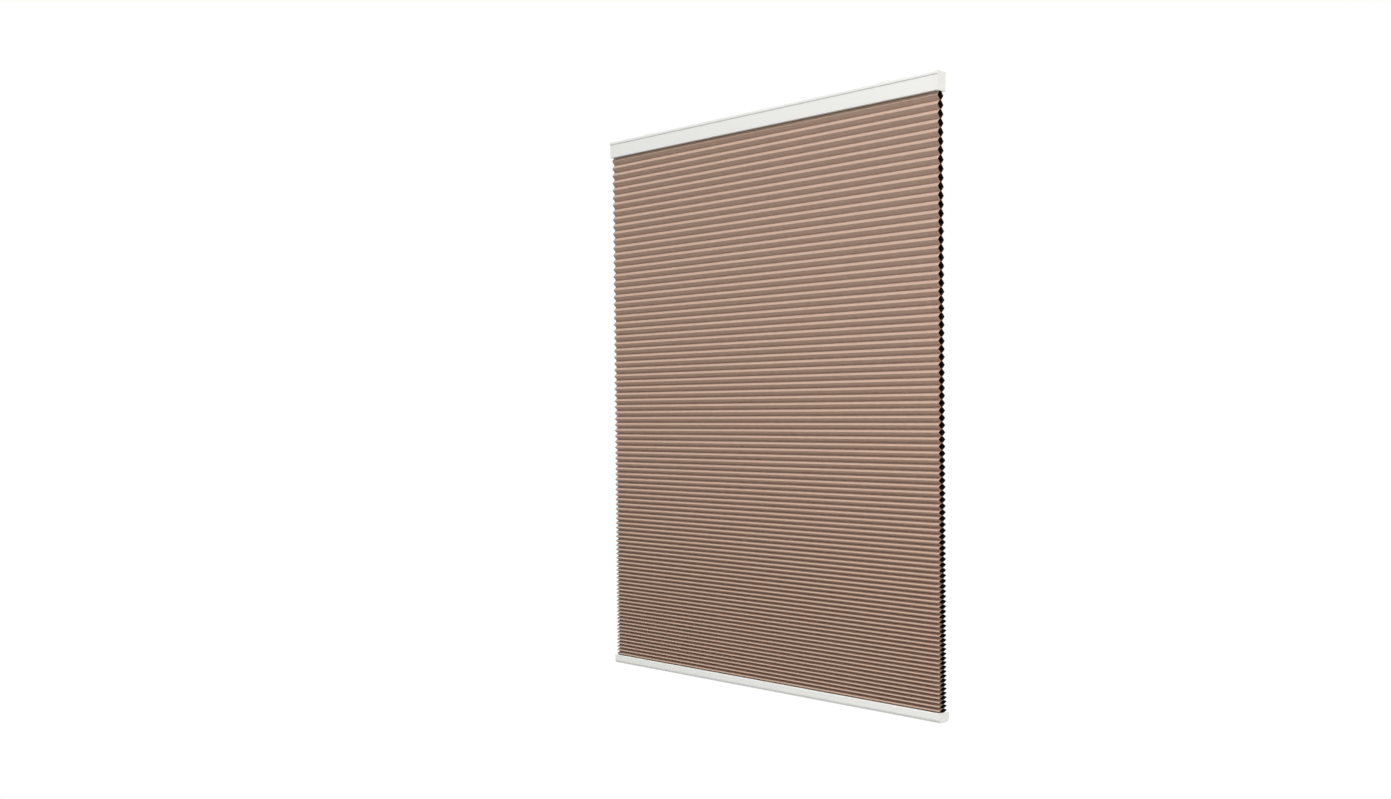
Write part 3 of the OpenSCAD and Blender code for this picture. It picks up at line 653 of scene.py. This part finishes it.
class SHADE_OT_moulded_ends(bpy.types.Operator):
    """Finish the end caps, the cord anchors and the strips in the end cells"""
    bl_idname = "shade.moulded_ends"
    bl_label = "End caps, anchors and strips"

    def execute(self, context):
        colours = context.scene.shade.colours
        # ABS from a spark-eroded mould: an even grain of about 0.5 mm.
        abs_white = grained_finish("moulded_abs_white", colours.cap, roughness=0.46, grain=0.5 * MM,
                                   depth=0.02 * MM, tint=0.015)
        # Extruded PVC: faint lines along the strip.
        pvc = grained_finish("extruded_pvc", colours.strip, roughness=0.35, grain=0.4 * MM, depth=0.02 * MM,
                             stretch=(0.02, 1, 1))
        dress([f"{rail}_end_cap_{side}" for rail in ("head", "bottom") for side, _ in SIDES], abs_white)
        dress([f"cord_anchor_{side}" for side, _ in SIDES], abs_white)
        dress(("top_fabric_strip", "bottom_fabric_strip"), pvc)
        return {"FINISHED"}


class SHADE_OT_hardware(bpy.types.Operator):
    """Finish the brackets, screws and axles"""
    bl_idname = "shade.hardware"
    bl_label = "Brackets, screws and axles"

    def execute(self, context):
        # Cold-rolled steel, zinc plated: fine rolling lines under a bright, slightly cloudy plate.
        plate = grained_finish("zinc_plated_steel", context.scene.shade.colours.zinc, roughness=0.34,
                               grain=0.35 * MM, depth=0.008 * MM, stretch=(0.05, 1, 1), metallic=1.0,
                               tint=0.06)
        dress([f"{part}_{side}" for part in ("mounting_bracket", "guide_axle") for side, _ in SIDES], plate)
        dress(("spring_box_screws",), plate)
        return {"FINISHED"}


class SHADE_OT_spring_lift(bpy.types.Operator):
    """Finish the spring box, its train and the cord guides"""
    bl_idname = "shade.spring_lift"
    bl_label = "Spring lift"

    def execute(self, context):
        colours = context.scene.shade.colours
        # Glass-filled nylon: dull, with a mottled moulded skin.
        nylon = grained_finish("glass_filled_nylon", colours.housing, roughness=0.55, grain=0.6 * MM,
                               depth=0.03 * MM, tint=0.08)
        # Acetal: slippery and faintly waxy.
        acetal = grained_finish("moulded_acetal", colours.acetal, roughness=0.32, grain=0.8 * MM,
                                depth=0.01 * MM, tint=0.02,
                                constants={"Subsurface Weight": 0.06, "Subsurface Scale": 1.0 * MM})
        # Rolled spring strip: bright, with fine lines round the coils.
        strip = grained_finish("rolled_spring_steel", colours.spring, roughness=0.28, grain=0.3 * MM,
                               depth=0.008 * MM, stretch=(0.1, 0.1, 1), metallic=1.0, tint=0.08)
        dress(("spring_box_base", "spring_box_cover", "cord_guide_left", "cord_guide_right"), nylon)
        dress([f"{part}_{side}" for part in ("cord_spool", "guide_roller") for side, _ in SIDES], acetal)
        dress(("output_drum", "storage_drum"), acetal)
        dress(("power_spring",), strip)
        return {"FINISHED"}


def seen_directly(tree):
    """Socket that is 1 for what the camera sees, also in a reflection or through something clear."""
    path = add_node(tree, "ShaderNodeLightPath")
    seen = path.outputs["Is Camera Ray"]
    for ray in ("Is Glossy Ray", "Is Transmission Ray"):
        either = add_node(tree, "ShaderNodeMath", {0: seen, 1: path.outputs[ray]}, operation="MAXIMUM")
        seen = either.outputs[0]
    return seen


class SHADE_OT_studio(bpy.types.Operator):
    """Set the camera, the lamps, the floor and the room light"""
    bl_idname = "shade.studio"
    bl_label = "Studio"

    def execute(self, context):
        scene, studio = context.scene, context.scene.shade.studio
        scene.view_settings.view_transform = "Standard"
        self.camera(scene, studio)
        self.lamps(scene, studio)
        self.floor(studio)
        self.room(scene, studio)
        return {"FINISHED"}

    def camera(self, scene, studio):
        data = bpy.data.cameras.new("camera")
        data.sensor_fit, data.sensor_width = "HORIZONTAL", SENSOR_WIDTH
        data.lens = SENSOR_WIDTH * studio.focal / PHOTO_WIDTH
        data.shift_y = studio.axis_drop / PHOTO_WIDTH
        data.clip_end = VIEW_END
        level = math.cos(studio.pitch)
        right = Vector((math.cos(studio.yaw), math.sin(studio.yaw), 0))
        ahead = Vector((-math.sin(studio.yaw) * level, math.cos(studio.yaw) * level, math.sin(studio.pitch)))
        up = right.cross(ahead)
        across = right * math.cos(studio.roll) + up * math.sin(studio.roll)
        upright = up * math.cos(studio.roll) - right * math.sin(studio.roll)
        turned = Matrix((across, upright, -ahead)).transposed().to_4x4()
        camera = bpy.data.objects.new("camera", data)
        camera.matrix_world = Matrix.Translation(studio.eye) @ turned
        scene.collection.objects.link(camera)
        scene.camera = camera

    def lamps(self, scene, studio):
        for name, place, width in LAMPS:
            data = bpy.data.lights.new(f"{name}_lamp", "AREA")
            data.shape, data.size = "DISK", width
            # A disk of this power gives its share of a white level where it meets the shade square on.
            data.energy = getattr(studio, name) * math.pi ** 2 * (Vector(place) - LAMP_AIM).length_squared
            lamp = bpy.data.objects.new(f"{name}_lamp", data)
            lamp.location = place
            lamp.rotation_mode = "QUATERNION"
            lamp.rotation_quaternion = (LAMP_AIM - Vector(place)).to_track_quat("-Z", "Y")
            lamp.visible_camera = False
            scene.collection.objects.link(lamp)

    def floor(self, studio):
        # Matt paint, rolled flat.
        material, tree, shader = new_material("matt_white_floor")
        feed(tree, shader, {"Base Color": studio.floor, "Roughness": 0.9})
        place = add_node(tree, "ShaderNodeTexCoord").outputs["Object"]
        away = add_node(tree, "ShaderNodeVectorMath", {0: place}, operation="LENGTH")
        # The floor fades from its own shade under the piece to plain white further off.
        fade = add_node(tree, "ShaderNodeMapRange", {
            "Value": away.outputs["Value"], "From Min": studio.fade_start, "From Max": studio.fade_end,
            "To Min": studio.fade_near, "To Max": 1.0}, interpolation_type="SMOOTHSTEP")
        share = add_node(tree, "ShaderNodeMath", {0: seen_directly(tree), 1: fade.outputs[0]},
                         operation="MULTIPLY")
        white = add_node(tree, "ShaderNodeEmission", {"Color": (1, 1, 1, 1), "Strength": 1.0})
        mixed = add_node(tree, "ShaderNodeMixShader", {0: share.outputs[0], 1: shader.outputs[0],
                                                       2: white.outputs[0]})
        feed(tree, tree.nodes["Material Output"], {"Surface": mixed.outputs[0]})
        # The white is only there to be seen: it lights nothing, so it takes no part in choosing lamps.
        material.cycles.emission_sampling = "NONE"
        reach = studio.floor_reach
        corners = [(-reach, -reach, 0), (reach, -reach, 0), (reach, reach, 0), (-reach, reach, 0)]
        floor = new_piece("floor", corners, [(0, 1, 2, 3)], [material])
        floor.location = (0, 0, CAD_BOX[0].z - studio.floor_drop)

    def room(self, scene, studio):
        world = bpy.data.worlds.new("studio_room")
        world.use_nodes = True
        scene.world = world
        tree = world.node_tree
        level = add_node(tree, "ShaderNodeMapRange", {"Value": seen_directly(tree), "To Min": studio.room,
                                                      "To Max": 1.0})
        feed(tree, tree.nodes["Background"], {"Color": (1, 1, 1, 1), "Strength": level.outputs[0]})


class SHADE_PT_sidebar(bpy.types.Panel):
    """Lists the steps that build the shade, and its settings"""
    bl_idname = "SHADE_PT_sidebar"
    bl_label = "Cellular shade"
    bl_space_type = "VIEW_3D"
    bl_region_type = "UI"
    bl_category = "Shade"

    def draw(self, context):
        for step in STEPS:
            self.layout.operator(step.bl_idname)
        settings = context.scene.shade
        for group in (settings.honeycomb, settings.cords, settings.colours, settings.studio):
            box = self.layout.box()
            for name in group.__annotations__:
                box.prop(group, name)


GROUPS = (HoneycombSizes, CordSizes, ShadeColours, StudioSettings, ShadeSettings)
STEPS = (SHADE_OT_studio, SHADE_OT_lift_cords, SHADE_OT_honeycomb, SHADE_OT_rails, SHADE_OT_moulded_ends,
         SHADE_OT_hardware, SHADE_OT_spring_lift)


def register():
    for kind in GROUPS + STEPS + (SHADE_PT_sidebar,):
        bpy.utils.register_class(kind)
    bpy.types.Scene.shade = bpy.props.PointerProperty(type=ShadeSettings)


def unregister():
    del bpy.types.Scene.shade
    for kind in reversed(GROUPS + STEPS + (SHADE_PT_sidebar,)):
        bpy.utils.unregister_class(kind)


def main():
    register()
    for step in STEPS:
        family, name = step.bl_idname.split(".")
        getattr(getattr(bpy.ops, family), name)()


if __name__ == "__main__":
    main()
